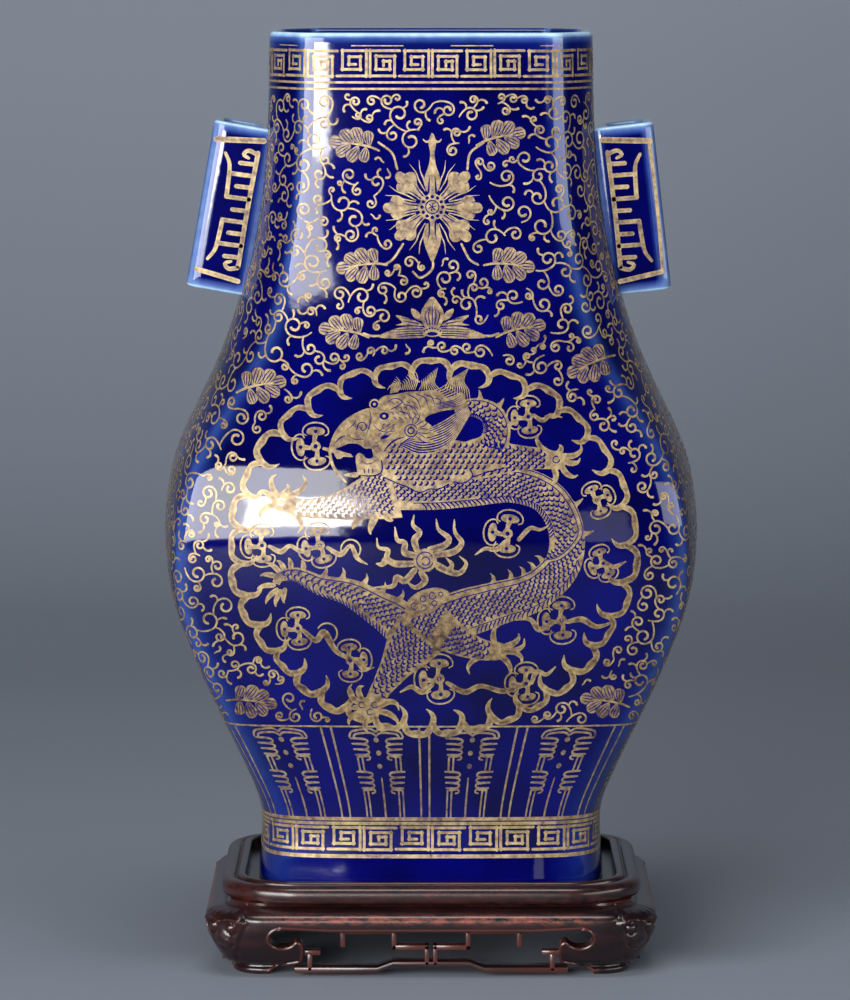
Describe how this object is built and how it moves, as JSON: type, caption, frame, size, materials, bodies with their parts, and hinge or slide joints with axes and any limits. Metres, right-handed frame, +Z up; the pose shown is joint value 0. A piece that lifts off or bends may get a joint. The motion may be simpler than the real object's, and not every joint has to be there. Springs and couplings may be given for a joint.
{
  "type": "porcelain vase on wooden stand",
  "caption": "Rectangular-section porcelain vase with swelling body and tubular handles, cobalt glaze with gilt dragon and scroll ornament, resting in a carved hardwood stand with scroll feet.",
  "frame": {"origin": "centre of the stand's footprint, on the plane of its soles", "axes": "+Z up along the vase, +X to the right along the wide face, the decorated front faces -Y"},
  "size_m": [0.1874, 0.138, 0.324],
  "materials": {
    "glaze": "deep cobalt glaze, glassy, paler at the lip and along the edges",
    "gilding": "thin painted gilding, soft sheen, worn",
    "hardwood": "dark red-brown carved hardwood, polished, worn lighter on its mouldings"
  },
  "bodies": {
    "root": {"vase": "glaze", "stand": "hardwood"}
  },
  "joints": []
}
